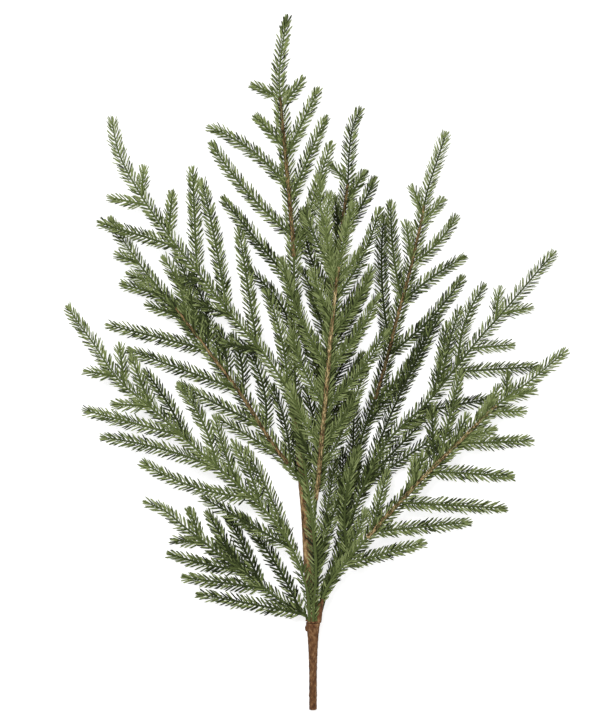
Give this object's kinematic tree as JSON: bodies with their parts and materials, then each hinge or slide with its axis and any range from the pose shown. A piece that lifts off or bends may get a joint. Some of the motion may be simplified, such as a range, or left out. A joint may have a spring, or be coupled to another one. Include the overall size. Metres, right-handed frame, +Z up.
{
  "type": "decorative fir branch",
  "caption": "Decorative fir branch lying flat: a tapering taped stem and a bare trunk, with fanned sprays of short green needles on brown ribs and side twigs.",
  "frame": {"origin": "middle of the branch's box on the surface it lies on", "axes": "+Y from the cut end of the stem to the tip of the leader, +X to the right seen from above, +Z up off the surface"},
  "size_m": [0.5786, 0.8008, 0.0735],
  "materials": {
    "tape": "brown crepe paper tape, dry and speckled",
    "rib": "light brown paper tape wound on wire",
    "needles": "soft green moulded needles, satin"
  },
  "bodies": {
    "root": {"stem": "tape", "trunk": "tape", "leader": "needles", "front_spray": "needles", "back_spray": "needles", "right_upper_spray": "needles", "right_spray": "needles", "right_lower_spray": "needles", "left_upper_spray": "needles", "left_spray": "needles", "left_middle_spray": "needles", "left_lower_spray": "needles"}
  },
  "joints": []
}
